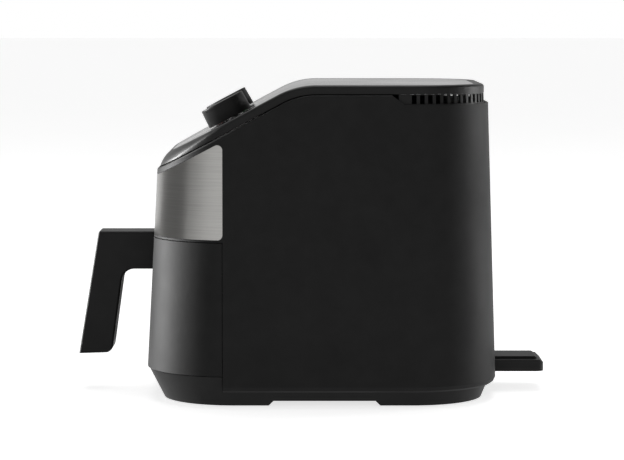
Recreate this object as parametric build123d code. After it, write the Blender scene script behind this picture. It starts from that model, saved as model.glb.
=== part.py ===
from build123d import *
import math
import os

# A drawer air fryer with two dials. Millimetres, +Z up, X across the width.
# The handle side faces -Y and the wall spacer faces +Y.
# The origin is on the ground, under the middle of the whole object's box.

# ---- housing outline, given at two levels and tapered in between
LOW_Z = 31.0
HIGH_Z = 303.0
HALF_WIDTH = (143.0, 134.0)
FRONT_Y = (-161.8, -147.3)
REAR_Y = (185.5, 176.9)
CORNER_RADIUS = (85.0, 80.0)
WALL = 2.6
SHELL_FOOT_Z = 15.0
FAR = 400.0

# ---- middle of the whole object's box, which every node is moved back by
MIDDLE_Y = 1.45

# ---- top: flat at the rear, falling to the front at SLOPE degrees
TOP_Z = 312.0
SLOPE = 28.0
KNEE_Y = -12.9
BEND_RADIUS = 80.0
RIM_DEPTH = 9.3
RIM_EDGE_RADIUS = 1.8
RIM_SEARCH_Z = 200.0
LID_DEPTH = 8.4
LID_SKIN = 4.0
LID_INSET = 3.6
LID_FRONT_INSET = 2.4
LID_EDGE_RADIUS = 6.5
PANEL_INSET = 14.0
PANEL_DEPTH = 1.5

# ---- vent ring round the upper rear
VENT_FLOOR_Z = 293.5
VENT_START_Y = 79.4
VENT_RAMP = 12.6
VENT_INSET = 4.2
VENT_PITCH = 8.0
VENT_SLOT = 4.6

# ---- base
SKIRT_TOP_Z = 30.2
SKIRT_STEP_Z = 14.4
SKIRT_FOOT_Z = 0.8
SKIRT_INSETS = (14.8, 1.6)
SKIRT_FRONT_TUCK = 3.5
NOTCH_Z = 5.6
NOTCH_Y = (-40.5, 69.8)
NOTCH_RAMP = 5.5
BASE_PLATE_Z = 8.0
BASE_PLATE_THICK = 2.5
FOOT_RADIUS = 11.0
FOOT_PLACES = {
    "foot_front_left": (-78.0, -96.0),
    "foot_front_right": (78.0, -96.0),
    "foot_rear_left": (-78.0, 120.0),
    "foot_rear_right": (78.0, 120.0),
}

BASE_SCREWS = [(-104, -40), (104, -40), (-104, 70), (104, 70), (0, -122), (0, 146)]

# ---- steel band
BAND_THICK = 0.8
BAND_LOW_Z = 163.0
BAND_RIM_MARGIN = 5.0
BAND_CORNER = 5.0
PANEL_LINE_Y = -84.0

# ---- drawer
DRAWER_LOW_Z = 31.0
DRAWER_TOP_Z = 160.0
OPENING_TOP_Z = 160.8
DRAWER_GAP = 0.6
DRAWER_WALL = 3.0
PAN_Y = (-138.0, 117.0)
PAN_HALF_WIDTH = 119.0
PAN_FLOOR_Z = 38.6
PAN_RIM_Z = 156.5
PAN_DRAFT = 4.0
PAN_CORNER = 55.0
PAN_WALL = 1.2
PAN_FLANGE = 3.5
PAN_SCREW_X = (-45.0, 45.0)
PAN_SCREW_Z = 140.0
BRACKET_Y = -143.0
BRACKET_THICK = 1.5

# ---- crisper plate
PLATE_Z = 52.0
PLATE_THICK = 1.6
PLATE_GAP = 3.0
PLATE_HOLE = 4.5
PLATE_PITCH = 22.0
BUMPER_RADIUS = 6.0

# ---- handle, seen from the side
HANDLE_HALF_WIDTH = 19.5
HANDLE_TIP_Y = -234.5
HANDLE_TIP_Z = 36.4
HANDLE_TOP_Y = -213.8
HANDLE_TOP_Z = 161.2
HANDLE_UNDER_Z = 122.8
HANDLE_INNER_Y = -188.9
HANDLE_HEEL_Y = -200.9
HANDLE_CREASE = 13.0
HANDLE_HEEL = 8.0
HANDLE_EDGE = 2.6
HANDLE_SCREW_X = (-10.0, 10.0)
HANDLE_SCREW_Z = 141.0
INSERT_HALF_WIDTH = 13.0
INSERT_THICK = 2.5

# ---- rear spacer
SPACER_END_Y = 237.4
SPACER_Z = (19.8, 31.4)
SPACER_HALF_WIDTH = 30.0
SPACER_CORNER = 8.0
SPACER_RIB_HALF_WIDTH = 21.0
SPACER_RIB_Z = 34.0
SPACER_RIB_END_Y = 231.8
SPACER_SCREW_X = (-25.5, 25.5)
SPACER_SCREW_Z = 26.0
SPACER_SCREW_RADIUS = 1.6

# ---- cord inlet, at the rear
CORD_X = -60.0
CORD_Z = 62.0
CORD_BORE = 3.75
GLAND_NECK = 8.0
GLAND_FLANGE = 11.0

# ---- cooking chamber
LINER_HALF_WIDTH = 126.0
LINER_REAR_Y = 124.0
LINER_FRONT_Y = -83.0
LINER_Z = (33.0, 168.8)
HOOD_HALF_WIDTH = 88.0
HOOD_FRONT_Y = -138.0
SHEET = 0.8
FAN_Y = -8.0
ROOF_HOLE = 103.0
DOME_RADIUS = 110.0
DOME_TOP_Z = 204.0
SHIELD_RADIUS = 117.0
SHIELD_TOP_Z = 211.0
GUARD_Z = 169.6
COIL_Z = 177.0
COIL_RADII = (92.0, 80.0)
COIL_TUBE = 3.2
LEAD_PLACES = (-14.0, 14.0)
FUSE_PLACE = (70.0, 30.0)

# ---- fan train
SHAFT_RADIUS = 4.0
SHAFT_Z = (177.0, 272.0)
RUNNING_FIT = 0.05
HOT_FAN_RADIUS = 70.0
HOT_FAN_Z = (183.0, 200.0)
COOLING_FAN_RADIUS = 50.0
COOLING_FAN_Z = (214.0, 225.0)
BRIDGE_Z = 229.0
MOTOR_Z = (232.0, 266.0)
MOTOR_HALF = 29.0
BEARING_RADIUS = 9.0
MOTOR_SCREW_RADIUS = 2.0
MOTOR_SCREWS = [(x, FAN_Y + y) for x in (-22, 22) for y in (-22, 22)]
BRIDGE_SCREW_RADIUS = 1.6
BRIDGE_SCREWS = [(x, FAN_Y + y) for x in (-72, 72) for y in (-16, 16)]

# ---- dials
DIAL_X = 55.0
DIAL_Y = -78.3
DIAL_RADIUS = 23.2
DIAL_HEIGHT = 18.4
DIAL_GAP = 1.0
DIAL_SHAFT_RADIUS = 3.0
CONTROL_RADIUS = 21.0
CONTROL_DEPTH = (14.5, 42.0)
LAMP_RADIUS = 3.2
LAMP_SLIDES = (-12.0, 12.0)

# ---- drawer safety switch, between chamber wall and shell
SWITCH_X = -131.0
SWITCH_Z = 100.0
SWITCH_FRONT_Y = -80.0
PLUNGER_RADIUS = 2.1
PLUNGER_BORE = 7.0
PLUNGER_TRAVEL = 2.0
PLUNGER_CLEAR = 0.5

# ---- derived: the arc that joins the flat top to the slope
ANGLE = math.radians(SLOPE)
BEND_Y = KNEE_Y + BEND_RADIUS * math.tan(ANGLE / 2)
BEND_Z = TOP_Z - BEND_RADIUS


# =============================================================== shared shapes
def at_level(pair, z):
    """A dimension of the outline at height z, from its two given values."""
    share = (z - LOW_Z) / (HIGH_Z - LOW_Z)
    return pair[0] + share * (pair[1] - pair[0])


def outline(z, inset=0.0, front_inset=None):
    """The housing's plan outline at height z, moved inwards by inset."""
    front = at_level(FRONT_Y, z) + (inset if front_inset is None else front_inset)
    rear = at_level(REAR_Y, z) - inset
    width = 2 * (at_level(HALF_WIDTH, z) - inset)
    radius = at_level(CORNER_RADIUS, z) - inset
    place = Pos(0, (front + rear) / 2, z)
    return (place * RectangleRounded(width, rear - front, radius)).face()


def tapered(*levels):
    """A solid through levels of the outline, each (height, inset) or (height, inset, front inset)."""
    return Part() + loft([outline(*level) for level in levels], ruled=True)


def straight(z_low, z_high, inset=0.0):
    return tapered((z_low, inset), (z_high, inset))


def slope_height(y, depth=0.0):
    """Height at y of the sloping face that lies depth under the lid's top."""
    return TOP_Z + (y - KNEE_Y) * math.tan(ANGLE) - depth / math.cos(ANGLE)


def below_top(depth):
    """All the space under the surface that runs depth below the lid's top."""
    radius = BEND_RADIUS - depth
    crest = (BEND_Y, BEND_Z + radius)
    middle = (BEND_Y - radius * math.sin(ANGLE / 2), BEND_Z + radius * math.cos(ANGLE / 2))
    foot = (BEND_Y - radius * math.sin(ANGLE), BEND_Z + radius * math.cos(ANGLE))
    end = (-FAR, foot[1] - (foot[0] + FAR) * math.tan(ANGLE))
    edge = Polyline((FAR, -FAR), (FAR, crest[1]), crest) + ThreePointArc(crest, middle, foot)
    edge += Polyline(foot, end, (-FAR, -FAR), (FAR, -FAR))
    return extrude(Plane.YZ * make_face(edge), FAR, both=True)


def side_prism(points, half_width=FAR):
    """A prism across the width, from points of (y, z)."""
    return extrude(Plane.YZ * make_face(Polyline(*points, close=True)), half_width, both=True)


def block(x, y, z):
    """A box between the two values of each axis."""
    size = (x[1] - x[0], y[1] - y[0], z[1] - z[0])
    return Pos((x[0] + x[1]) / 2, (y[0] + y[1]) / 2, (z[0] + z[1]) / 2) * Box(*size)


def post(x, y, z, radius):
    """A vertical cylinder between the two values of z."""
    return Pos(x, y, (z[0] + z[1]) / 2) * Cylinder(radius, z[1] - z[0])


def dial_frame(x, slide=0.0):
    """Axes on the sloping panel: X across, Y up the slope, Z out of it."""
    y = DIAL_Y + slide
    out = (0, -math.sin(ANGLE), math.cos(ANGLE))
    return Plane(origin=(x, y, slope_height(y)), x_dir=(1, 0, 0), z_dir=out)


def screw(length, radius=1.9, head=3.4, head_height=2.2):
    """A pan-head screw, head up, with its seat on the XY plane and a cross recess."""
    body = post(0, 0, (-length, 0), radius) + post(0, 0, (0, head_height), head)
    recess_z = (head_height - 1.1, head_height + 1)
    body -= block((-2.2, 2.2), (-0.45, 0.45), recess_z)
    return body - block((-0.45, 0.45), (-2.2, 2.2), recess_z)


def group(solids):
    """Several separate solids in one node."""
    return Compound([solid for shape in solids for solid in shape.solids()])


# ============================================================ housing, outside
def shell_blank(inset):
    """The shell's outer form, with its foot turned under."""
    foot = SHELL_FOOT_Z
    return tapered((foot, inset + 4.6), (foot + 2, inset + 1.7), (foot + 5.5, inset), (TOP_Z, inset))


def vent_cut():
    """The rim steps down here, behind a short ramp."""
    ramp_end = VENT_START_Y + VENT_RAMP
    points = [(VENT_START_Y, TOP_Z), (VENT_START_Y, TOP_Z - RIM_DEPTH), (ramp_end, VENT_FLOOR_Z)]
    return side_prism(points + [(FAR, VENT_FLOOR_Z), (FAR, TOP_Z)])


def band_region(grow):
    """The band's face seen from the side, grown by grow on every side."""
    front = -FAR
    rear = PANEL_LINE_Y + grow
    low = BAND_LOW_Z - grow
    depth = RIM_DEPTH + BAND_RIM_MARGIN - grow
    points = [(front, low), (rear, low)]
    points += [(y, slope_height(y, depth)) for y in (rear, front)]
    face = make_face(Polyline(*points, close=True))
    corners = [v for v in face.vertices() if v.X > PANEL_LINE_Y - 1]
    face = fillet(corners, BAND_CORNER + grow)
    return extrude(Plane.YZ * face, FAR, both=True)


def rim_edges(solid):
    """The outer edges of the faces that slope over the top of a solid."""
    tops = [f for f in solid.faces() if f.normal_at().Z > 0.5 and f.center().Z > RIM_SEARCH_Z]
    edges = [e for face in tops for e in face.edges()]
    return [e for e in edges if sum(e.is_same(other) for other in edges) == 1]


def outer_shell():
    body = shell_blank(0) & below_top(RIM_DEPTH)
    shell = Part() + body.fillet(RIM_EDGE_RADIUS, rim_edges(body))
    shell -= shell_blank(WALL)
    shell -= block((-FAR, FAR), (-FAR, PANEL_LINE_Y), (0, OPENING_TOP_Z))
    shell -= vent_cut()
    skin = straight(LOW_Z, TOP_Z) - straight(LOW_Z, TOP_Z, BAND_THICK)
    shell -= skin & band_region(0.3)
    shell -= Pos(CORD_X, REAR_Y[0], CORD_Z) * Rot(90, 0, 0) * Cylinder(GLAND_NECK + 0.1, 40)
    return shell - spacer_screw_holes()


def steel_band():
    skin = straight(LOW_Z, TOP_Z) - straight(LOW_Z, TOP_Z, BAND_THICK)
    return skin & band_region(0)


def lid_blank(extra=0.0):
    """The lid's plan form, stepped in from the shell all round."""
    inset = LID_INSET + extra
    front = LID_FRONT_INSET + extra
    return Part() + loft([outline(z, inset, front) for z in (LOW_Z, TOP_Z)], ruled=True)


def top_cover():
    cover = lid_blank() & below_top(0)
    rim = [e for e in cover.edges() if e.center().Z > slope_height(e.center().Y) - 1.5]
    rim = [e for e in rim if abs(e.center().X) > 1 or e.center().Y > 100 or e.center().Y < -100]
    cover = Part() + fillet(rim, LID_EDGE_RADIUS)
    cover -= below_top(LID_DEPTH)
    hollow = lid_blank(WALL) & below_top(LID_SKIN)
    cover -= hollow
    cover += lid_tongue()
    cover -= panel_blank(0.15)
    for x in (-DIAL_X, DIAL_X):
        cover -= dial_frame(x) * Cylinder(6.0, 40)
    for slide in LAMP_SLIDES:
        cover -= dial_frame(0, slide) * Cylinder(LAMP_RADIUS + 0.1, 40)
    return cover


def lid_tongue():
    """The rib under the lid that drops inside the rim and closes the joint to light."""
    rib = straight(LOW_Z, TOP_Z, WALL + 2.2) - straight(LOW_Z, TOP_Z, WALL + 4.0)
    rib &= below_top(LID_SKIN) - below_top(RIM_DEPTH + 3.5)
    return rib - block((-FAR, FAR), (VENT_START_Y - 2, FAR), (0, FAR))


def panel_blank(grow):
    band = below_top(-1) - below_top(PANEL_DEPTH + (grow > 0) * 0.02)
    return straight(LOW_Z, TOP_Z + 5, PANEL_INSET - grow) & band


def control_panel():
    """The glossy face let into the lid."""
    panel = panel_blank(0) & below_top(0)
    for x in (-DIAL_X, DIAL_X):
        panel -= dial_frame(x) * Cylinder(6.0, 40)
    for slide in LAMP_SLIDES:
        panel -= dial_frame(0, slide) * Cylinder(LAMP_RADIUS + 0.1, 40)
    return panel


def vent_slots():
    """Places of the slots along the ring: side runs, corners and rear."""
    radius = at_level(CORNER_RADIUS, HIGH_Z) - VENT_INSET
    centre_x = at_level(HALF_WIDTH, HIGH_Z) - at_level(CORNER_RADIUS, HIGH_Z)
    centre_y = at_level(REAR_Y, HIGH_Z) - at_level(CORNER_RADIUS, HIGH_Z)
    turns = round(math.pi / 2 * radius / VENT_PITCH)
    places = []
    for side in (-1, 1):
        for i in range(turns):
            angle = math.pi / 2 * (i + 0.5) / turns
            x = side * (centre_x + radius * math.cos(angle))
            y = centre_y + radius * math.sin(angle)
            places.append((x, y, math.degrees(angle) * side))
    across = round(2 * centre_x / VENT_PITCH)
    for i in range(across):
        x = -centre_x + 2 * centre_x * (i + 0.5) / across
        places.append((x, centre_y + radius, 90))
    return places


def vent_grille():
    """A slotted ring that stands behind the step of the rim."""
    floor = VENT_FLOOR_Z - 6
    roof = TOP_Z - LID_DEPTH - 0.1
    ring = straight(floor, roof, VENT_INSET) - straight(floor, roof, VENT_INSET + 1.6)
    ring &= block((-FAR, FAR), (VENT_START_Y + VENT_RAMP - 6, FAR), (0, FAR))
    slot_z = (VENT_FLOOR_Z + 0.8, roof - 0.8)
    for x, y, turn in vent_slots():
        slot = Box(12, VENT_SLOT, slot_z[1] - slot_z[0])
        ring -= Pos(x, y, sum(slot_z) / 2) * Rot(0, 0, turn) * slot
    return ring


def base_skirt():
    taper = (SKIRT_INSETS[1] - SKIRT_INSETS[0]) / (SKIRT_TOP_Z - SKIRT_FOOT_Z)

    def ring(extra):
        foot_inset = SKIRT_INSETS[0] + extra
        foot_level = (SKIRT_FOOT_Z, foot_inset, foot_inset + SKIRT_FRONT_TUCK)
        return tapered(foot_level, (SKIRT_TOP_Z, SKIRT_INSETS[1] + extra))

    skirt = ring(0) - ring(WALL)
    skirt -= block((-FAR, FAR), (PANEL_LINE_Y - DRAWER_GAP, FAR), (SKIRT_STEP_Z, FAR))
    inset_at_step = SKIRT_INSETS[0] + taper * (SKIRT_STEP_Z - SKIRT_FOOT_Z)
    collar = straight(SKIRT_STEP_Z, SKIRT_TOP_Z, inset_at_step)
    collar -= straight(SKIRT_STEP_Z, SKIRT_TOP_Z, inset_at_step + WALL)
    skirt += collar & block((-FAR, FAR), (PANEL_LINE_Y - DRAWER_GAP, FAR), (0, FAR))
    low, high = NOTCH_Y
    notch = [(low, 0), (low + NOTCH_RAMP, NOTCH_Z), (high - NOTCH_RAMP, NOTCH_Z), (high, 0)]
    return skirt - side_prism(notch)


def base_plate():
    z = (BASE_PLATE_Z, BASE_PLATE_Z + BASE_PLATE_THICK)
    plate = straight(*z, SKIRT_INSETS[0] + WALL + 1.0)
    for i in range(-4, 5):
        for y in (-40, 12, 64):
            plate -= block((i * 14 - 2.5, i * 14 + 2.5), (y - 18, y + 18), (0, 30))
    for x, y in FOOT_PLACES.values():
        plate -= post(x, y, (0, 30), 4.1)
    for x, y in BASE_SCREWS:
        plate -= post(x, y, (0, 30), 2.0)
    return plate


def foot(x, y):
    """A rubber foot: a tapered pad with a stem that snaps through the base plate."""
    pad = loft([Circle(FOOT_RADIUS - 1).face(), (Pos(0, 0, BASE_PLATE_Z) * Circle(FOOT_RADIUS)).face()])
    pad = Part() + pad - post(0, 0, (-1, 1), 4.0)
    stem = post(0, 0, (BASE_PLATE_Z, BASE_PLATE_Z + BASE_PLATE_THICK), 4.1)
    barb_z = BASE_PLATE_Z + BASE_PLATE_THICK
    return Pos(x, y, 0) * (pad + stem + post(0, 0, (barb_z, barb_z + 2), 5.5))


def base_screws():
    return group([Pos(x, y, BASE_PLATE_Z) * Rot(180, 0, 0) * screw(10, 2.0) for x, y in BASE_SCREWS])


def cord_gland():
    """The bushed inlet that a cord would pass through."""
    face_y = at_level(REAR_Y, CORD_Z)
    flange = Pos(CORD_X, face_y + 1.5, CORD_Z) * Rot(90, 0, 0) * Cylinder(GLAND_FLANGE, 4.0)
    flange -= straight(LOW_Z, HIGH_Z)
    neck = Pos(CORD_X, face_y - 4.5, CORD_Z) * Rot(90, 0, 0) * Cylinder(GLAND_NECK, 12)
    nut = Pos(CORD_X, face_y - 7.5, CORD_Z) * Rot(90, 0, 0) * Cylinder(GLAND_FLANGE, 4)
    gland = flange + neck + nut
    return gland - Pos(CORD_X, face_y, CORD_Z) * Rot(90, 0, 0) * Cylinder(CORD_BORE, 60)


def rear_spacer():
    """The wall spacer: a flat tongue with rounded ends and a raised middle."""
    low, high = SPACER_Z
    root = at_level(REAR_Y, high) - 12

    def tongue(half_width, end, z, corner):
        solid = block((-half_width, half_width), (root, end), z)
        tips = [e for e in solid.edges().filter_by(Axis.Z) if e.center().Y > end - 1]
        return Part() + fillet(tips, corner)

    spacer = tongue(SPACER_HALF_WIDTH, SPACER_END_Y, SPACER_Z, SPACER_CORNER)
    spacer += tongue(SPACER_RIB_HALF_WIDTH, SPACER_RIB_END_Y, (high - 1, SPACER_RIB_Z), SPACER_CORNER - 2)
    tip = SPACER_END_Y
    chamfer = [(tip - 4, high + 0.01), (tip + 1, high - 4.2), (tip + 1, high + 1), (tip - 4, high + 1)]
    spacer -= side_prism(chamfer)
    rib = SPACER_RIB_END_Y
    rib_z = SPACER_RIB_Z
    chamfer = [(rib - 3, rib_z + 0.01), (rib + 1, rib_z - 2.4), (rib + 1, rib_z + 1), (rib - 3, rib_z + 1)]
    spacer -= side_prism(chamfer)
    return spacer - straight(SHELL_FOOT_Z, HIGH_Z) - spacer_screw_holes()


def spacer_screw_holes():
    holes = Part()
    for x in SPACER_SCREW_X:
        hole = Cylinder(SPACER_SCREW_RADIUS + 0.05, 24)
        holes += Pos(x, at_level(REAR_Y, SPACER_SCREW_Z), SPACER_SCREW_Z) * Rot(90, 0, 0) * hole
    return holes


def spacer_screws():
    seat_y = at_level(REAR_Y, SPACER_SCREW_Z) - WALL - 0.2
    fixing = Rot(90, 0, 0) * screw(WALL + 7, SPACER_SCREW_RADIUS, 3.0)
    return group([Pos(x, seat_y, SPACER_SCREW_Z) * fixing for x in SPACER_SCREW_X])


# =========================================================== housing, chamber
def pan_outline(z, inset=0.0):
    """The pan's plan outline at height z."""
    share = (PAN_RIM_Z - z) / (PAN_RIM_Z - PAN_FLOOR_Z)
    inset += share * PAN_DRAFT
    width = 2 * (PAN_HALF_WIDTH - inset)
    length = PAN_Y[1] - PAN_Y[0] - 2 * inset
    return (Pos(0, sum(PAN_Y) / 2, z) * RectangleRounded(width, length, PAN_CORNER - inset)).face()


def chamber_liner():
    """The sheet-metal box round the drawer, open at the front and over the heater."""
    x = (-LINER_HALF_WIDTH, LINER_HALF_WIDTH)
    box = block(x, (LINER_FRONT_Y, LINER_REAR_Y), LINER_Z)
    inner_x = (x[0] + SHEET, x[1] - SHEET)
    inner_z = (LINER_Z[0] + SHEET, LINER_Z[1] - SHEET)
    box -= block(inner_x, (LINER_FRONT_Y - 1, LINER_REAR_Y - SHEET), inner_z)
    hood_z = (LINER_Z[1] - SHEET, LINER_Z[1])
    box += block((-HOOD_HALF_WIDTH, HOOD_HALF_WIDTH), (HOOD_FRONT_Y, LINER_FRONT_Y + 1), hood_z)
    return box - post(0, FAN_Y, (LINER_Z[1] - 5, LINER_Z[1] + 5), ROOF_HOLE)


def slide_rails():
    """The two pressed rails that the pan slides on."""
    rails = []
    for x in (-84, 84):
        z = (LINER_Z[0] + SHEET, PAN_FLOOR_Z - 0.4)
        rail = block((x - 5, x + 5), (LINER_FRONT_Y + 4, LINER_REAR_Y - 8), z)
        edges = rail.edges().filter_by(Axis.Y).sort_by(Axis.Z)[-2:]
        rails.append(Part() + fillet(edges, 1.5))
    return group(rails)


def cap(radius, top, thick):
    """A round cup, mouth down, on the liner's roof."""
    z = (LINER_Z[1], top)
    solid = post(0, FAN_Y, z, radius)
    solid = Part() + fillet(solid.edges().group_by(Axis.Z)[-1], 6)
    hollow = post(0, FAN_Y, (z[0], top - thick), radius - thick)
    return solid - (Part() + fillet(hollow.edges().group_by(Axis.Z)[-1], 6 - thick))


def air_deflector():
    dome = cap(DOME_RADIUS, DOME_TOP_Z, SHEET)
    dome -= post(0, FAN_Y, (DOME_TOP_Z - 5, DOME_TOP_Z + 5), 9)
    for x in LEAD_PLACES:
        dome -= post(x, FAN_Y + COIL_RADII[0], (DOME_TOP_Z - 5, DOME_TOP_Z + 5), COIL_TUBE + 3.5)
    return dome - post(*FUSE_PLACE, (DOME_TOP_Z - 5, DOME_TOP_Z + 5), 4.2)


def heat_shield():
    shield = cap(SHIELD_RADIUS, SHIELD_TOP_Z, SHEET)
    shield -= post(0, FAN_Y, (SHIELD_TOP_Z - 5, SHIELD_TOP_Z + 5), 9)
    for x in LEAD_PLACES:
        shield -= post(x, FAN_Y + COIL_RADII[0], (SHIELD_TOP_Z - 5, SHIELD_TOP_Z + 5), COIL_TUBE + 4.5)
    shield -= bridge_screw_holes()
    return shield - post(*FUSE_PLACE, (SHIELD_TOP_Z - 5, SHIELD_TOP_Z + 5), 4.2)


def heater_coil():
    """Two loops of sheathed rod with their ends turned up through the roof."""
    outer, inner = COIL_RADII
    centre = Pos(0, FAN_Y, COIL_Z)
    coil = centre * Torus(outer, COIL_TUBE) + centre * Torus(inner, COIL_TUBE)
    gap_z = (COIL_Z - 10, COIL_Z + 10)
    coil -= block((-12.5, 12.5), (FAN_Y + inner + 6, FAN_Y + outer + 6), gap_z)
    bridge = Pos(-40, FAN_Y - (outer + inner) / 2 + 8, COIL_Z) * Rot(90, 0, -28) * Cylinder(COIL_TUBE, 12)
    coil += bridge
    for x in LEAD_PLACES:
        coil += post(x, FAN_Y + outer, (COIL_Z, SHIELD_TOP_Z + 14), COIL_TUBE)
    return coil


def heater_sleeves():
    """Ceramic sleeves that carry the rod's ends through both roofs."""
    z = (DOME_TOP_Z - 3, SHIELD_TOP_Z + 6)
    sleeves = []
    for x in LEAD_PLACES:
        sleeve = post(x, FAN_Y + COIL_RADII[0], z, COIL_TUBE + 3.3)
        sleeves.append(sleeve - post(x, FAN_Y + COIL_RADII[0], (z[0] - 1, z[1] + 1), COIL_TUBE + 0.05))
    return group(sleeves)


def heater_brackets():
    """Three clips that hold the rod loops up to the roof."""
    clips = []
    for turn in (200, 270, 340):
        low = COIL_Z - COIL_TUBE - 1.4
        strap = block((COIL_RADII[1] - 6, COIL_RADII[0] + 6), (-4, 4), (low, low + 1.2))
        hanger = block((COIL_RADII[0] + 5, COIL_RADII[0] + 6.2), (-4, 4), (low, DOME_TOP_Z - SHEET))
        clips.append(Pos(0, FAN_Y, 0) * Rot(0, 0, turn) * (strap + hanger))
    return group(clips)


def heater_guard():
    """A wire grille under the heater: rings joined by spokes."""
    z = (GUARD_Z, GUARD_Z + 1.6)
    guard = Part()
    for radius in range(18, 103, 14):
        guard += post(0, FAN_Y, z, radius + 0.9) - post(0, FAN_Y, z, radius - 0.9)
    for i in range(4):
        spoke = Pos(0, FAN_Y, z[0] + 0.8) * Rot(0, 0, 45 * i + 22.5) * Box(2 * 102.5, 1.8, 1.6)
        guard += spoke
    return guard


def blade_wheel(radius, z, hub, blades, pitch, bore=SHAFT_RADIUS):
    """A fan wheel: a hub, a disc over the blades, and tilted blades."""
    low, high = z
    wheel = post(0, 0, (low, high), hub)
    height = high - low
    for i in range(blades):
        blade = Rot(pitch, 0, 0) * Box(radius - hub + 2, 1.4, height)
        blade = Pos((radius + hub) / 2, 0, (low + high) / 2) * blade
        wheel += Rot(0, 0, 360 * i / blades) * blade
    wheel &= post(0, 0, z, radius)
    return Pos(0, FAN_Y, 0) * (wheel - post(0, 0, (low - 1, high + 1), bore))


def hot_fan():
    low, high = HOT_FAN_Z
    wheel = blade_wheel(HOT_FAN_RADIUS, HOT_FAN_Z, 11, 10, 0)
    disc = post(0, FAN_Y, (high - 1.2, high), HOT_FAN_RADIUS - 4)
    disc -= post(0, FAN_Y, (low, high + 1), SHAFT_RADIUS)
    return wheel + disc


def cooling_fan():
    return blade_wheel(COOLING_FAN_RADIUS, COOLING_FAN_Z, 12, 7, 42)


def fan_shaft():
    shaft = post(0, FAN_Y, SHAFT_Z, SHAFT_RADIUS)
    return Part() + chamfer(shaft.edges().group_by(Axis.Z)[-1], 0.8)


def fan_nut():
    z = (SHAFT_Z[0] + 0.6, HOT_FAN_Z[0])
    nut = Pos(0, FAN_Y, z[0]) * extrude(RegularPolygon(7.5, 6), z[1] - z[0])
    return Part() + nut - post(0, FAN_Y, (z[0] - 1, z[1] + 1), SHAFT_RADIUS)


def motor_bridge():
    """A pressed bridge over the cooling fan that carries the motor."""
    top = (BRIDGE_Z, BRIDGE_Z + 1.6)
    reach = 66
    bridge = block((-reach, reach), (FAN_Y - 24, FAN_Y + 24), top)
    for side in (-1, 1):
        x = sorted((side * reach, side * (reach - 1.6)))
        bridge += block(x, (FAN_Y - 24, FAN_Y + 24), (SHIELD_TOP_Z, BRIDGE_Z + 1.6))
        foot_x = sorted((side * (reach - 1.6), side * (reach + 12)))
        bridge += block(foot_x, (FAN_Y - 24, FAN_Y + 24), (SHIELD_TOP_Z, SHIELD_TOP_Z + 1.6))
    bridge -= post(0, FAN_Y, (BRIDGE_Z - 2, BRIDGE_Z + 5), 14)
    for x in (-48, 48):
        bridge -= block((x - 7, x + 7), (FAN_Y - 14, FAN_Y + 14), (BRIDGE_Z - 2, BRIDGE_Z + 5))
    for x, y in MOTOR_SCREWS:
        bridge -= post(x, y, (BRIDGE_Z - 2, BRIDGE_Z + 5), MOTOR_SCREW_RADIUS + 0.1)
    return bridge - bridge_screw_holes()


def bridge_screw_holes():
    z = (SHIELD_TOP_Z - 5, SHIELD_TOP_Z + 5)
    holes = Part()
    for x, y in BRIDGE_SCREWS:
        holes += post(x, y, z, BRIDGE_SCREW_RADIUS + 0.05)
    return holes


def bridge_screws():
    seat = SHIELD_TOP_Z + 1.6
    return group([Pos(x, y, seat) * screw(5.5, BRIDGE_SCREW_RADIUS, 3.0, 2.0) for x, y in BRIDGE_SCREWS])


def motor_stack():
    """Laminated stator with rounded corners, and an end frame at each end."""
    low, high = MOTOR_Z
    stack = extrude(RectangleRounded(2 * MOTOR_HALF, 2 * MOTOR_HALF, 6), high - low - 14)
    stack = Pos(0, FAN_Y, low + 7) * stack
    motor = Part() + stack
    for z in ((low + 2, low + 7), (high - 7, high - 2)):
        motor += post(0, FAN_Y, z, 12.5) + block((-26, 26), (FAN_Y - 8, FAN_Y + 8), z)
    motor -= post(0, FAN_Y, (low - 1, high + 1), BEARING_RADIUS + 0.05)
    for x, y in MOTOR_SCREWS:
        motor -= post(x, y, (low - 1, high + 1), MOTOR_SCREW_RADIUS + 0.1)
    return motor


def motor_screws():
    """Long bolts through the stack into the bridge."""
    seat = MOTOR_Z[1] - 7
    fastener = screw(seat - BRIDGE_Z, MOTOR_SCREW_RADIUS, 3.6)
    return group([Pos(x, y, seat) * fastener for x, y in MOTOR_SCREWS])


def motor_bushes():
    """Rubber bushes between the bridge and the stack."""
    z = (BRIDGE_Z + 1.6, MOTOR_Z[0] + 7)
    bore = MOTOR_SCREW_RADIUS + 0.1
    return group([post(x, y, z, 5) - post(x, y, (z[0] - 1, z[1] + 1), bore) for x, y in MOTOR_SCREWS])


def motor_windings():
    """Copper coils at two sides of the stack, above and below it."""
    coils = []
    low, high = MOTOR_Z
    for side in (-1, 1):
        y = sorted((FAN_Y + side * 13.5, FAN_Y + side * 25))
        for z in ((low + 1.5, low + 7), (high - 7, high - 1.5)):
            coil = block((-15, 15), y, z)
            coils.append(Part() + fillet(coil.edges().filter_by(Axis.Z), 3.5))
    return group(coils)


def motor_bearings():
    """Two sleeve bearings in the end frames."""
    rings = []
    low, high = MOTOR_Z
    for z in ((low + 1, low + 8), (high - 8, high - 1)):
        ring = post(0, FAN_Y, z, BEARING_RADIUS)
        rings.append(ring - post(0, FAN_Y, (z[0] - 1, z[1] + 1), SHAFT_RADIUS + RUNNING_FIT))
    return group(rings)


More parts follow.
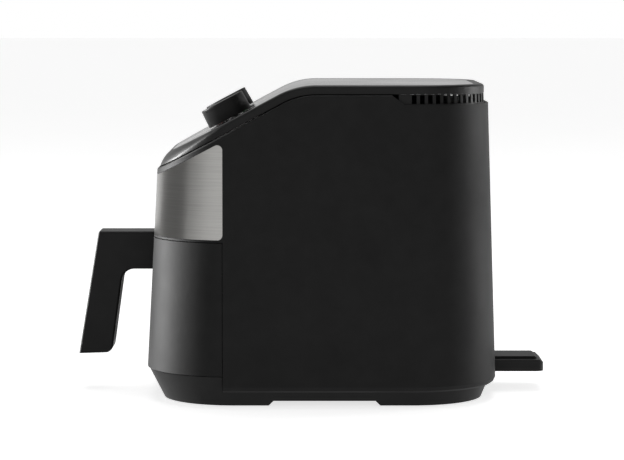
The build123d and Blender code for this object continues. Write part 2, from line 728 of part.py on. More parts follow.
# =============================================================== control parts
def dial():
    """A dial cap on its own axes: seat at z 0, with a waist and a broken top edge."""
    body = Pos(0, 0, DIAL_HEIGHT / 2) * Cylinder(DIAL_RADIUS, DIAL_HEIGHT)
    body = Part() + chamfer(body.edges().group_by(Axis.Z)[-1], 1.0)
    body -= post(0, 0, (-1, 3.0), DIAL_RADIUS - 2.5)
    body -= post(0, 0, (-1, 12.0), DIAL_SHAFT_RADIUS)
    groove = block((-1.1, 1.1), (8, DIAL_RADIUS - 2.5), (DIAL_HEIGHT - 0.8, DIAL_HEIGHT + 1))
    return body - groove


def dial_parts(name, x):
    """The nodes that turn together with one dial."""
    frame = dial_frame(x)
    lift = Pos(0, 0, DIAL_GAP)
    pointer = block((-1.1, 1.1), (8, DIAL_RADIUS - 2.5), (DIAL_HEIGHT - 0.8, DIAL_HEIGHT - 0.2))
    shaft = post(0, 0, (-CONTROL_DEPTH[1] + 6, 12.0 + DIAL_GAP), DIAL_SHAFT_RADIUS)
    return {
        name + "_knob": frame * lift * dial(),
        name + "_pointer": frame * lift * pointer,
        name + "_shaft": frame * shaft,
    }


def control_body(x, square):
    """A thermostat or timer case under the panel, bored for its shaft."""
    near, deep = CONTROL_DEPTH
    if square:
        side = 2 * CONTROL_RADIUS - 4
        case = Pos(0, 0, -deep) * extrude(RectangleRounded(side, side, 3), deep - near)
    else:
        case = post(0, 0, (-deep, -near), CONTROL_RADIUS)
    case = Part() + case + post(0, 0, (-near - 0.5, -near + 6), 6.0)
    case -= post(0, 0, (-deep + 5.5, 20), DIAL_SHAFT_RADIUS + RUNNING_FIT)
    for side in (-1, 1):
        case += block((side * 8 - 3, side * 8 + 3), (-0.4, 0.4), (-deep - 7, -deep + 0.5))
    return dial_frame(x) * case


def control_bracket():
    """The sheet that both controls hang from, under the slope."""
    near = CONTROL_DEPTH[0]
    sheet = block((-92, 92), (-27, 27), (-near, -near + 1.2))
    for side in (-1, 1):
        sheet -= post(side * DIAL_X, 0, (-near - 1, -near + 3), 6.3)
        leg_x = sorted((side * 92, side * 90.8))
        sheet += block(leg_x, (-27, 27), (-near, -LID_SKIN - 0.1))
    for slide in LAMP_SLIDES:
        sheet -= post(0, slide / math.cos(ANGLE), (-near - 1, -near + 3), LAMP_RADIUS + 0.1)
    return dial_frame(0) * sheet


def lamp(slide):
    """An indicator lens: a domed light pipe with a collar under the lid."""
    body = post(0, 0, (-CONTROL_DEPTH[0] - 4, 0.6), LAMP_RADIUS)
    body = Part() + fillet(body.edges().group_by(Axis.Z)[-1], 0.5)
    body += post(0, 0, (-LID_SKIN - 2.1, -LID_SKIN - 0.1), LAMP_RADIUS + 1.5)
    return dial_frame(0, slide) * body


def sweep_tube(points, radii, radius):
    """A round tube along straight runs joined by arcs."""
    path = FilletPolyline(*points, radius=radii)
    start = Plane(origin=path @ 0, z_dir=path % 0)
    return Part() + sweep(start * Circle(radius), path=path)


def thermostat_bulb():
    """The capillary from the thermostat down to its bulb beside the chamber roof."""
    frame = dial_frame(DIAL_X)
    root = frame.from_local_coords((12, 0, -CONTROL_DEPTH[1] - 0.6))
    points = [(root.X, root.Y, root.Z), (root.X + 2, root.Y + 4, root.Z - 10)]
    points += [(90, -28, 222), (96, 10, 220)]
    tube = sweep_tube(points, [8, 12], 1.0)
    bulb_start = Plane(origin=points[-1], z_dir=(6, 38, -2))
    bulb = bulb_start * (Pos(0, 0, 30) * Cylinder(2.6, 62))
    return tube + bulb


def thermal_fuse():
    """A cut-out pressed through the heat shield."""
    z = (DOME_TOP_Z - 4, SHIELD_TOP_Z + 3)
    x, y = FUSE_PLACE
    return post(x, y, z, 4.0) + post(x, y, (SHIELD_TOP_Z, SHIELD_TOP_Z + 3), 7.0)


def terminal_block():
    """Three-way block on the base behind the chamber."""
    block_body = block((-84, -44), (138, 154), (20, 34))
    for x in (-76, -64, -52):
        block_body -= post(x, 146, (28, 40), 2.6)
        block_body -= Pos(x, 146, 25) * Rot(90, 0, 0) * Cylinder(1.8, 30)
    return block_body + block((-88, -40), (141, 151), (BASE_PLATE_Z + BASE_PLATE_THICK, 20.5))


def wire_loom():
    """The bundle from the terminal block up the rear to the motor."""
    points = [(-52, 152, 34), (-52, 152, 60), (-40, 158, 90), (-40, 158, 200)]
    points += [(-32, 130, 232), (-8, 60, 256), (-4, 24, 256)]
    return sweep_tube(points, [14, 20, 24, 24, 28], 2.6)


def drawer_switch():
    """The safety switch on the chamber's side wall, with a bore for its plunger."""
    front = SWITCH_FRONT_Y
    case_x = (-LINER_HALF_WIDTH - 10, -LINER_HALF_WIDTH)
    case = block(case_x, (front, front + 20), (SWITCH_Z - 7, SWITCH_Z + 7))
    bore = Pos(SWITCH_X, front, SWITCH_Z) * Rot(90, 0, 0) * Cylinder(PLUNGER_RADIUS + 0.3, 2 * PLUNGER_BORE)
    return case - bore


def switch_plunger():
    """The button of the safety switch, shown free; the striker stands just in front."""
    tip = PANEL_LINE_Y - DRAWER_GAP + PLUNGER_CLEAR
    tail = SWITCH_FRONT_Y + PLUNGER_BORE - PLUNGER_TRAVEL - 0.5
    stem = Pos(SWITCH_X, (tip + tail) / 2, SWITCH_Z) * Rot(90, 0, 0) * Cylinder(PLUNGER_RADIUS, tail - tip)
    return Part() + fillet(stem.edges().group_by(Axis.Y)[0], 1.2)


# ====================================================================== drawer
def drawer_front():
    """The curved front, hollow from behind, with a sill and a top skin."""
    low, high = DRAWER_LOW_Z, DRAWER_TOP_Z
    front = straight(low, high)
    front -= straight(low + DRAWER_WALL, high - DRAWER_WALL, DRAWER_WALL)
    rear = PANEL_LINE_Y - DRAWER_GAP
    front &= block((-FAR, FAR), (-FAR, rear), (0, FAR))
    room = extrude(pan_outline(PAN_RIM_Z, -PAN_FLANGE - 1.5), 60, both=True)
    front -= room & block((-FAR, FAR), (-FAR, FAR), (low - 1, high + 1))
    striker = block((-FAR, SWITCH_X + 3), (rear - 7, rear), (SWITCH_Z - 4, SWITCH_Z + 4))
    front += striker & straight(low, high, DRAWER_WALL / 2)
    for x in HANDLE_SCREW_X:
        front -= Pos(x, -150, HANDLE_SCREW_Z) * Rot(90, 0, 0) * Cylinder(2.2, 60)
    return front


def drawer_bracket():
    """The steel plate behind the front that ties pan, front and handle together."""
    y = (BRACKET_Y, BRACKET_Y + BRACKET_THICK)
    plate = block((-60, 60), y, (60, 152))
    flange_y = (at_level(FRONT_Y, 150) + DRAWER_WALL + 0.6, BRACKET_Y)
    plate += block((-60, 60), flange_y, (60, 61.5))
    plate -= block((-30, 30), (BRACKET_Y - 1, BRACKET_Y + 3), (76, 118))
    tab = block((-7, 7), (BRACKET_Y, BRACKET_Y + BRACKET_THICK), (150, DRAWER_TOP_Z - DRAWER_WALL - 0.2))
    plate += tab
    for x in HANDLE_SCREW_X:
        plate -= Pos(x, BRACKET_Y, HANDLE_SCREW_Z) * Rot(90, 0, 0) * Cylinder(2.2, 20)
    for x in PAN_SCREW_X:
        plate -= Pos(x, BRACKET_Y, PAN_SCREW_Z) * Rot(90, 0, 0) * Cylinder(1.7, 20)
    return plate


def pan():
    """The deep drawn pan with a rolled rim and a welded stand-off at the front."""
    body = Part() + loft([pan_outline(PAN_FLOOR_Z), pan_outline(PAN_RIM_Z)], ruled=True)
    body = Part() + fillet(body.edges().group_by(Axis.Z)[0], 7)
    levels = (PAN_FLOOR_Z + PAN_WALL, PAN_RIM_Z)
    hollow = loft([pan_outline(z, PAN_WALL) for z in levels], ruled=True)
    hollow = Part() + fillet((Part() + hollow).edges().group_by(Axis.Z)[0], 6)
    rim = extrude(pan_outline(PAN_RIM_Z, -PAN_FLANGE), -1.4) - extrude(pan_outline(PAN_RIM_Z, 0.5), -1.4)
    body = body + rim - hollow
    for x in PAN_SCREW_X:
        boss = Pos(x, PAN_Y[0] - 1.5, PAN_SCREW_Z) * Rot(90, 0, 0) * Cylinder(5, 7)
        solid_pan = loft([pan_outline(PAN_FLOOR_Z, 0.6), pan_outline(PAN_RIM_Z, 0.6)], ruled=True)
        boss = boss - solid_pan
        boss &= block((-FAR, FAR), (BRACKET_Y + BRACKET_THICK, FAR), (0, FAR))
        boss -= Pos(x, PAN_Y[0] - 2, PAN_SCREW_Z) * Rot(90, 0, 0) * Cylinder(1.7, 8)
        body += boss
    return body


def pan_screws():
    fastener = Rot(90, 0, 0) * screw(4.6, 1.6, 3.0, 2.0)
    return group([Pos(x, BRACKET_Y, PAN_SCREW_Z) * fastener for x in PAN_SCREW_X])


def handle_face():
    """The handle's side outline in the YZ plane: an arm with a drooping grip."""
    arm_end = FRONT_Y[0] + 20
    points = [
        (arm_end, HANDLE_TOP_Z),
        (HANDLE_TOP_Y, HANDLE_TOP_Z),
        (HANDLE_TIP_Y, HANDLE_TIP_Z),
        (HANDLE_HEEL_Y, HANDLE_TIP_Z + 1.0),
        (HANDLE_INNER_Y, HANDLE_UNDER_Z),
        (arm_end, HANDLE_UNDER_Z),
    ]
    face = make_face(Polyline(*points, close=True))

    def corner(point):
        return min(face.vertices(), key=lambda v: (v.X - point[0]) ** 2 + (v.Y - point[1]) ** 2)

    face = fillet(corner(points[4]), HANDLE_CREASE)
    face = fillet(corner(points[3]), HANDLE_HEEL)
    return fillet(corner(points[1]), 2.5)


def insert_region(grow):
    """The strip along the inside of arm and grip that takes the soft insert."""
    strip = handle_face() - Pos(-INSERT_THICK - grow, INSERT_THICK + grow) * handle_face()
    solid = extrude(Plane.YZ * strip, INSERT_HALF_WIDTH + grow, both=True)
    face_y = at_level(FRONT_Y, HANDLE_UNDER_Z)
    insert_z = (HANDLE_TIP_Z + 12 - grow, HANDLE_UNDER_Z + 8)
    return solid & block((-40, 40), (-FAR, face_y - 6 + grow), insert_z)


def handle_grip():
    grip = extrude(Plane.YZ * handle_face(), HANDLE_HALF_WIDTH, both=True)
    sides = [e for e in grip.edges() if abs(abs(e.center().X) - HANDLE_HALF_WIDTH) < 0.01]
    sides = [e for e in sides if e.center().Y < FRONT_Y[0] + 19]
    grip = Part() + fillet(sides, HANDLE_EDGE)
    grip -= straight(DRAWER_LOW_Z, DRAWER_TOP_Z + 5)
    grip -= insert_region(0)
    for x in HANDLE_SCREW_X:
        grip -= Pos(x, -160, HANDLE_SCREW_Z) * Rot(90, 0, 0) * Cylinder(2.0, 40)
    return grip


def handle_insert():
    return insert_region(0)


def handle_screws():
    """Two screws from the bracket through the front into the handle."""
    fastener = Rot(-90, 0, 0) * screw(26, 2.0)
    inner_face = BRACKET_Y + BRACKET_THICK
    return group([Pos(x, inner_face, HANDLE_SCREW_Z) * fastener for x in HANDLE_SCREW_X])


# ================================================================ crisper plate
def plate_outline(z, inset=0.0):
    return pan_outline(z, PAN_WALL + PLATE_GAP + inset)


def crisper_plate():
    """A perforated plate with a turned-down edge."""
    plate = extrude(plate_outline(PLATE_Z), PLATE_THICK)
    edge = extrude(plate_outline(PLATE_Z), -5) - extrude(plate_outline(PLATE_Z, 1.4), -5)
    plate = Part() + plate + edge
    middle = sum(PAN_Y) / 2
    reach_x = PAN_HALF_WIDTH - 24
    reach_y = (PAN_Y[1] - PAN_Y[0]) / 2 - 24
    columns = int(reach_x // PLATE_PITCH)
    rows = int(reach_y // PLATE_PITCH)
    for i in range(-columns, columns + 1):
        for j in range(-rows, rows + 1):
            if abs(i) == columns and abs(j) == rows:
                continue
            plate -= post(i * PLATE_PITCH, middle + j * PLATE_PITCH, (PLATE_Z - 1, PLATE_Z + 5), PLATE_HOLE)
    return plate


def plate_bumpers():
    """Four silicone legs under the plate that rest on the pan's floor."""
    legs = []
    z = (PAN_FLOOR_Z + PAN_WALL + 0.3, PLATE_Z)
    for x in (-78, 78):
        for y in (-101, 80):
            leg = post(x, y, z, BUMPER_RADIUS)
            legs.append(Part() + fillet(leg.edges().group_by(Axis.Z)[0], 2.0))
    return group(legs)


# ====================================================================== export
def build():
    nodes = {
        "outer_shell": outer_shell(),
        "steel_band": steel_band(),
        "top_cover": top_cover(),
        "control_panel": control_panel(),
        "vent_grille": vent_grille(),
        "base_skirt": base_skirt(),
        "base_plate": base_plate(),
        "base_screws": base_screws(),
        "cord_gland": cord_gland(),
        "rear_spacer": rear_spacer(),
        "spacer_screws": spacer_screws(),
        "chamber_liner": chamber_liner(),
        "slide_rails": slide_rails(),
        "air_deflector": air_deflector(),
        "heat_shield": heat_shield(),
        "heater_coil": heater_coil(),
        "heater_sleeves": heater_sleeves(),
        "heater_brackets": heater_brackets(),
        "heater_guard": heater_guard(),
        "hot_fan": hot_fan(),
        "cooling_fan": cooling_fan(),
        "fan_shaft": fan_shaft(),
        "fan_nut": fan_nut(),
        "motor_bridge": motor_bridge(),
        "bridge_screws": bridge_screws(),
        "motor_stack": motor_stack(),
        "motor_windings": motor_windings(),
        "motor_screws": motor_screws(),
        "motor_bushes": motor_bushes(),
        "motor_bearings": motor_bearings(),
        "thermostat_body": control_body(DIAL_X, True),
        "timer_body": control_body(-DIAL_X, False),
        "control_bracket": control_bracket(),
        "power_lamp": lamp(LAMP_SLIDES[1]),
        "heating_lamp": lamp(LAMP_SLIDES[0]),
        "thermostat_bulb": thermostat_bulb(),
        "thermal_fuse": thermal_fuse(),
        "terminal_block": terminal_block(),
        "wire_loom": wire_loom(),
        "drawer_switch": drawer_switch(),
        "switch_plunger": switch_plunger(),
        "drawer_front": drawer_front(),
        "drawer_bracket": drawer_bracket(),
        "pan": pan(),
        "pan_screws": pan_screws(),
        "handle_grip": handle_grip(),
        "handle_insert": handle_insert(),
        "handle_screws": handle_screws(),
        "crisper_plate": crisper_plate(),
        "plate_bumpers": plate_bumpers(),
    }
    nodes.update(dial_parts("temperature", DIAL_X))
    nodes.update(dial_parts("timer", -DIAL_X))
    for name, (x, y) in FOOT_PLACES.items():
        nodes[name] = foot(x, y)
    return nodes


def main():
    os.makedirs("parts", exist_ok=True)
    nodes = build()
    for name, shape in nodes.items():
        export_step(Pos(0, -MIDDLE_Y, 0) * shape, "parts/" + name + ".step")
    print(len(nodes), "nodes written")


main()
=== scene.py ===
# %% [markdown]
# # A basket air fryer, seen from its right side
#
# The measured model of the fryer is loaded first and stays where it is. Everything that is added
# later is built round it: finishes for each of its pieces, a few pieces modelled again with softer
# shapes, a floor, lamps and a camera. All lengths are in metres. X runs across the fryer, the
# handle points to -Y, and Z is up.

# %% Load the measured model
import math

import bmesh
import bpy
from mathutils import Matrix, Vector


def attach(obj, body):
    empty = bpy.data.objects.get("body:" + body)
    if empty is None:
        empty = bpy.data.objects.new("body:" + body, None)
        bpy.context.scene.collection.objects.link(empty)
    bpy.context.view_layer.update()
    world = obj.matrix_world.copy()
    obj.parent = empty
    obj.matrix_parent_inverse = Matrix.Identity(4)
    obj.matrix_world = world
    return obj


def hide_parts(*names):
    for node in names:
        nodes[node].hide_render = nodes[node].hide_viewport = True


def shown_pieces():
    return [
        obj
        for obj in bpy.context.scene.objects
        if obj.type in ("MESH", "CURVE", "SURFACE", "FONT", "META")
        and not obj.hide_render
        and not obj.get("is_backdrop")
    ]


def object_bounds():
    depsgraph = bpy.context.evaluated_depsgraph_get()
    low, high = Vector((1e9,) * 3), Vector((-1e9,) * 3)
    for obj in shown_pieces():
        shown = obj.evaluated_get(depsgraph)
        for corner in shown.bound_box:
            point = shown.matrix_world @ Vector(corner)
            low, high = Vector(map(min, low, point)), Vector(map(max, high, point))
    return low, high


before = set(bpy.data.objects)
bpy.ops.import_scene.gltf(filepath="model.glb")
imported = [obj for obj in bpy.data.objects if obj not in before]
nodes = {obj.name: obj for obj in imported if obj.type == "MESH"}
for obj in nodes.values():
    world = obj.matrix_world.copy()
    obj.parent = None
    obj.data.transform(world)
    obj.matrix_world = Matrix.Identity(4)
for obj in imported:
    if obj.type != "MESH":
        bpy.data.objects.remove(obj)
cad_low, cad_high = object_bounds()
MM = 0.001
overall = [round(side / MM, 1) for side in (cad_high - cad_low)]
print("loaded", len(nodes), "pieces,", overall, "mm overall")

# %% [markdown]
# ## Tools for finishes
#
# Real surfaces are never one flat colour. Moulded plastic has a fine grain and a slow drift in
# its sheen, sheet metal has lines from the rollers or the brush. Each finish below is a shader
# fed by a few noise patterns, all read in Object coordinates so that they stay put on the piece.
# These helpers add one node each, which keeps the recipes short.

# %% Helpers that add one node each


class Finish:
    """A material being built: its node tree, its shader and its coordinates."""

    def __init__(self, name, metallic=0.0, specular=0.5):
        self.material = bpy.data.materials.new(name)
        self.material.use_nodes = True
        self.tree = self.material.node_tree
        self.shader = self.tree.nodes["Principled BSDF"]
        self.shader.inputs["Metallic"].default_value = metallic
        self.shader.inputs["Specular IOR Level"].default_value = specular
        self.place = self.tree.nodes.new("ShaderNodeTexCoord").outputs["Object"]
        self.normal = None

    def node(self, kind, **inputs):
        made = self.tree.nodes.new(kind)
        for socket, value in inputs.items():
            self.feed(made, socket.replace("_", " "), value)
        return made

    def feed(self, node, socket, value):
        if isinstance(value, bpy.types.NodeSocket):
            self.tree.links.new(value, node.inputs[socket])
        else:
            node.inputs[socket].default_value = value

    def stretched(self, stretch):
        """The coordinates, multiplied along each axis."""
        mapping = self.node("ShaderNodeMapping", Vector=self.place)
        mapping.inputs["Scale"].default_value = stretch
        return mapping.outputs["Vector"]

    def noise(self, scale, detail=2.0, stretch=None):
        vector = self.stretched(stretch) if stretch else self.place
        made = self.node("ShaderNodeTexNoise", Vector=vector, Scale=scale, Detail=detail)
        return made.outputs["Fac"]

    def cells(self, scale, stretch=None):
        vector = self.stretched(stretch) if stretch else self.place
        made = self.node("ShaderNodeTexVoronoi", Vector=vector, Scale=scale)
        return made.outputs["Distance"]

    def bands(self, scale, axis, distortion=0.0):
        made = self.node("ShaderNodeTexWave", Vector=self.place, Scale=scale, Distortion=distortion)
        made.bands_direction = axis
        return made.outputs["Fac"]

    def between(self, pattern, low, high, start=0.0, end=1.0):
        """The pattern's range start..end turned into low..high."""
        made = self.node("ShaderNodeMapRange", Value=pattern)
        limits = {"From Min": start, "From Max": end, "To Min": low, "To Max": high}
        for socket, value in limits.items():
            made.inputs[socket].default_value = value
        return made.outputs["Result"]

    def times(self, a, b):
        made = self.tree.nodes.new("ShaderNodeMath")
        made.operation = "MULTIPLY"
        self.feed(made, 0, a)
        self.feed(made, 1, b)
        return made.outputs["Value"]

    def colours(self, pattern, stops):
        """A ramp: stops is a list of (position, (r, g, b))."""
        ramp = self.node("ShaderNodeValToRGB", Fac=pattern)
        steps = ramp.color_ramp.elements
        while len(steps) < len(stops):
            steps.new(0.5)
        for step, (position, colour) in zip(steps, stops):
            step.position = position
            step.color = (*colour, 1.0)
        self.feed(self.shader, "Base Color", ramp.outputs["Color"])
        return self

    def tones(self, pattern, dark, light):
        """Two shades of one colour."""
        return self.colours(pattern, [(0.3, dark), (0.7, light)])

    def sheen(self, pattern, low, high):
        """Roughness that drifts between two values."""
        self.feed(self.shader, "Roughness", self.between(pattern, low, high, 0.3, 0.7))
        return self

    def relief(self, pattern, depth, strength=1.0):
        """Bumps of that depth in metres, laid over any earlier ones."""
        bump = self.node("ShaderNodeBump", Height=pattern, Distance=depth, Strength=strength)
        if self.normal:
            self.feed(bump, "Normal", self.normal)
        self.normal = bump.outputs["Normal"]
        self.feed(self.shader, "Normal", self.normal)
        return self


finishes = {}


def grey(value, warmth=0.0):
    """A grey, slightly warmer in red than in blue."""
    return (value * (1 + warmth), value, value * (1 - warmth))


# %% [markdown]
# ## Moulded black plastics
#
# The housing, the drawer front and the lid are injection moulded in black polypropylene. The
# mould is etched, so the surface has a grain of a few tenths of a millimetre that scatters the
# light and leaves only a soft highlight. A recipe with colour drift, sheen drift, a grain and a
# very shallow waviness suits them all; only the numbers change from piece to piece.

# %% A recipe for moulded plastic


def moulded(slot, tone, roughness, specular, grain=900, depth=0.05 * MM, warmth=0.0):
    """Moulded plastic with an etched grain. grain is in cells per metre."""
    made = Finish(slot, specular=specular)
    drift = made.noise(14, 4)
    fine = made.noise(grain, 2)
    made.tones(made.noise(60, 5), grey(tone * 0.8, warmth), grey(tone * 1.25, warmth))
    made.sheen(drift, roughness - 0.04, roughness + 0.05)
    made.relief(drift, 0.12 * MM, 0.25)
    made.relief(fine, depth, 0.5)
    finishes[slot] = made.material
    return made


moulded("shell_black", 0.0045, 0.56, 0.15)
moulded("base_black", 0.0040, 0.50, 0.17)
moulded("lid_black", 0.0045, 0.42, 0.18, grain=1100, depth=0.03 * MM)
moulded("handle_black", 0.0040, 0.46, 0.16, grain=1100, depth=0.03 * MM)
moulded("knob_black", 0.0045, 0.42, 0.18, grain=1400, depth=0.02 * MM)
moulded("case_plastic", 0.030, 0.55, 0.35, grain=700)
moulded("silicone_black", 0.012, 0.62, 0.30, grain=600, depth=0.04 * MM)
moulded("foot_rubber", 0.016, 0.75, 0.25, grain=500, depth=0.08 * MM)
moulded("insert_rubber", 0.014, 0.68, 0.25, grain=700, depth=0.06 * MM)
print("plastics:", len(finishes))

# %% [markdown]
# ## The glossy control face
#
# The face round the dials is a separate moulding with a polished surface. It mirrors whatever is
# behind it, so it needs little more than a low roughness, but a polished part that is used gets
# faint hairlines and a haze where it is wiped. A very fine scratch pattern and a slow haze do
# that.

# %% Polished panel
panel = Finish("panel_gloss", specular=0.5)
haze = panel.noise(9, 3)
hairlines = panel.noise(500, 2, stretch=(0.05, 1.0, 1.0))
panel.tones(haze, grey(0.006), grey(0.011))
panel.sheen(haze, 0.09, 0.17)
panel.relief(hairlines, 0.004 * MM, 0.25)
finishes["panel_gloss"] = panel.material

# %% [markdown]
# ## Metals
#
# The band round the front is brushed stainless steel with a grey tint. The brush ran round the
# body, so its lines are long in X and Y and very short in Z. The sheets inside are aluminised
# steel with a soft spangle, and the pan and its plate are aluminium under a speckled non-stick
# coat.

# %% Brushed band
band = Finish("band_steel", metallic=1.0)
band.shader.inputs["Anisotropic"].default_value = 0.7
band.shader.inputs["Anisotropic Rotation"].default_value = 0.25
brush = band.noise(55, 6, stretch=(0.35, 0.35, 55.0))
fine_brush = band.noise(190, 3, stretch=(0.2, 0.2, 40.0))
band.tones(brush, (0.33, 0.325, 0.315), (0.44, 0.435, 0.42))
band.sheen(brush, 0.30, 0.42)
band.relief(brush, 0.006 * MM, 0.4)
band.relief(fine_brush, 0.004 * MM, 0.3)
finishes["band_steel"] = band.material

# %% Sheets, rods and shafts inside


def metal(slot, dark, light, rough, scale, stretch=None, depth=0.02 * MM, detail=4):
    """A metal whose tone, sheen and relief follow one pattern."""
    made = Finish(slot, metallic=1.0)
    pattern = made.noise(scale, detail, stretch)
    made.tones(pattern, dark, light)
    made.sheen(made.noise(scale * 0.4, 3, stretch), rough - 0.07, rough + 0.08)
    made.relief(pattern, depth, 0.4)
    finishes[slot] = made.material
    return made


metal("aluminised_sheet", grey(0.42, 0.02), grey(0.60, 0.02), 0.38, 120)
metal("fan_aluminium", grey(0.52), grey(0.66), 0.34, 160, (0.4, 0.4, 2.0))
metal("shaft_steel", grey(0.46), grey(0.58), 0.24, 220, (1.0, 1.0, 0.1), 0.006 * MM)
metal("screw_steel", grey(0.40), grey(0.60), 0.30, 700, None, 0.01 * MM)
metal("bronze_bush", (0.42, 0.26, 0.12), (0.60, 0.40, 0.20), 0.36, 500)
metal("heater_rod", (0.10, 0.085, 0.075), (0.21, 0.185, 0.17), 0.48, 300, None, 0.03 * MM)

# %% [markdown]
# Copper windings show the wire turns as fine bands; the motor's core shows the edges of its
# stamped sheets. Both are bands laid across one axis.

# %% Windings and laminations
copper = Finish("copper_wire", metallic=1.0)
turns = copper.bands(620, "Z", 0.4)
copper.tones(turns, (0.36, 0.13, 0.05), (0.78, 0.36, 0.17))
copper.sheen(copper.noise(90, 3), 0.26, 0.40)
copper.relief(turns, 0.20 * MM, 0.8)
finishes["copper_wire"] = copper.material

core = Finish("lamination_steel", metallic=1.0)
stamped = core.bands(520, "Z", 0.1)
core.tones(stamped, grey(0.16), grey(0.34))
core.sheen(core.noise(120, 3), 0.40, 0.55)
core.relief(stamped, 0.12 * MM, 0.8)
finishes["lamination_steel"] = core.material

# %% [markdown]
# The non-stick coat is a charcoal grey sprayed over aluminium. Tiny lighter flecks are mixed
# into it, and the sprayed film has a slight orange-peel texture.

# %% Non-stick coat
coat = Finish("nonstick_coat", specular=0.5)
flecks = coat.cells(420)
coat.colours(flecks, [(0.10, grey(0.20)), (0.22, grey(0.028)), (1.0, grey(0.020))])
coat.sheen(coat.noise(40, 4), 0.34, 0.48)
coat.relief(coat.noise(350, 2), 0.05 * MM, 0.35)
finishes["nonstick_coat"] = coat.material

# %% [markdown]
# Small parts: the white inlay of the pointers, unglazed ceramic, the glass-fibre sleeve of the
# wires and the tinted lenses of the two lamps. The sleeve is woven, so two crossing bands make its
# relief. The lenses let light through.

# %% Inlay, ceramic, sleeves and lenses
inlay = Finish("pointer_white", specular=0.4)
inlay.tones(inlay.noise(200, 4), grey(0.62, 0.01), grey(0.76, 0.01))
inlay.sheen(inlay.noise(80, 3), 0.36, 0.48)
inlay.relief(inlay.noise(900, 2), 0.01 * MM, 0.3)
finishes["pointer_white"] = inlay.material

ceramic = Finish("ceramic_white", specular=0.45)
ceramic.tones(ceramic.noise(260, 5), (0.58, 0.54, 0.47), (0.80, 0.77, 0.70))
ceramic.sheen(ceramic.noise(120, 3), 0.50, 0.70)
ceramic.relief(ceramic.noise(800, 3), 0.05 * MM, 0.5)
finishes["ceramic_white"] = ceramic.material

sleeve = Finish("wire_sleeve", specular=0.35)
weave = sleeve.times(sleeve.bands(700, "DIAGONAL"), sleeve.bands(700, "Z"))
sleeve.tones(weave, (0.50, 0.46, 0.38), (0.74, 0.70, 0.60))
sleeve.sheen(sleeve.noise(150, 3), 0.65, 0.80)
sleeve.relief(weave, 0.15 * MM, 0.7)
finishes["wire_sleeve"] = sleeve.material


def lens(slot, dark, light):
    """A tinted lens with a soft moulded texture."""
    made = Finish(slot, specular=0.5)
    made.shader.inputs["Transmission Weight"].default_value = 0.55
    made.tones(made.noise(300, 2), dark, light)
    made.sheen(made.noise(200, 2), 0.14, 0.24)
    made.relief(made.cells(900), 0.03 * MM, 0.4)
    finishes[slot] = made.material


lens("lamp_green", (0.03, 0.28, 0.06), (0.06, 0.50, 0.12))
lens("lamp_red", (0.45, 0.03, 0.015), (0.75, 0.06, 0.03))
print("finishes:", len(finishes))

# %% Put the finishes on the measured pieces
for name, piece in nodes.items():
    slot = piece.material_slots[0].material.name.split(".")[0]
    piece.data.materials[0] = finishes[slot]
print("finished", len(nodes), "pieces")

# %% [markdown]
# ## Modelling tools
#
# The new pieces are made as they would be by hand: a primitive of the right size, then edit mode
# operators on a few chosen faces or edges. An operator works on everything that is selected, so
# each step starts from an empty selection and picks its faces or edges by where they are.

# %% Helpers for edit mode


def open_piece(piece):
    """Makes one piece active and enters edit mode with nothing selected."""
    if bpy.context.mode != "OBJECT":
        bpy.ops.object.mode_set(mode="OBJECT")
    bpy.ops.object.select_all(action="DESELECT")
    piece.select_set(True)
    bpy.context.view_layer.objects.active = piece
    bpy.ops.object.mode_set(mode="EDIT")
    bpy.ops.mesh.select_all(action="DESELECT")


def close_piece():
    bpy.ops.object.mode_set(mode="OBJECT")


def pick(piece, kind, test):
    """Selects the "verts", "edges" or "faces" that pass the test and returns how many."""
    bpy.ops.mesh.select_all(action="DESELECT")
    bpy.ops.mesh.select_mode(type={"verts": "VERT", "edges": "EDGE", "faces": "FACE"}[kind])
    mesh = bmesh.from_edit_mesh(piece.data)
    mesh.normal_update()
    chosen = [part for part in getattr(mesh, kind) if test(part)]
    for part in chosen:
        part.select_set(True)
    mesh.select_flush_mode()
    bmesh.update_edit_mesh(piece.data)
    return len(chosen)


def modify(piece, kind, **settings):
    """Adds a modifier and applies it."""
    bpy.context.view_layer.objects.active = piece
    step = piece.modifiers.new(kind.lower(), kind)
    for name, value in settings.items():
        setattr(step, name, value)
    bpy.ops.object.modifier_apply(modifier=step.name)


def complete(piece, slot, body="housing", angle=32, stands_for=()):
    """Fixes a piece's place, gives it its finish, its smooth shading and its body."""
    if bpy.context.mode != "OBJECT":
        bpy.ops.object.mode_set(mode="OBJECT")
    bpy.ops.object.select_all(action="DESELECT")
    piece.select_set(True)
    bpy.context.view_layer.objects.active = piece
    bpy.ops.object.transform_apply(location=True, rotation=True, scale=True)
    bpy.ops.object.shade_smooth_by_angle(angle=math.radians(angle))
    piece.data.materials.clear()
    piece.data.materials.append(finishes[slot])
    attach(piece, body)
    if stands_for:
        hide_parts(*stands_for)
    print(piece.name, len(piece.data.polygons), "faces")
    return piece


# %% [markdown]
# ## The roof line
#
# Seen from the side, the top of the fryer is flat at the rear, bends over an arc of 80 mm radius
# and falls to the front at 28 degrees. The walls lean in a little on the way up. The lid and the
# panel both follow this, so it is written once: they are first modelled flat, as a tray would
# be cut, and then draped over the roof line.

# %% The roof line and the lean of the walls
SLOPE = math.radians(28)
CREST, KNEE = 312 * MM, -14.35 * MM
BEND, BEND_CENTRE = 80 * MM, (5.6 * MM, 232 * MM)
WALL_FOOT, WALL_HEIGHT = 31 * MM, 272 * MM
HALF_AT_FOOT, HALF_LOSS = 143 * MM, 9 * MM
FRONT_AT_FOOT, FRONT_LOSS = -163.25 * MM, 14.5 * MM


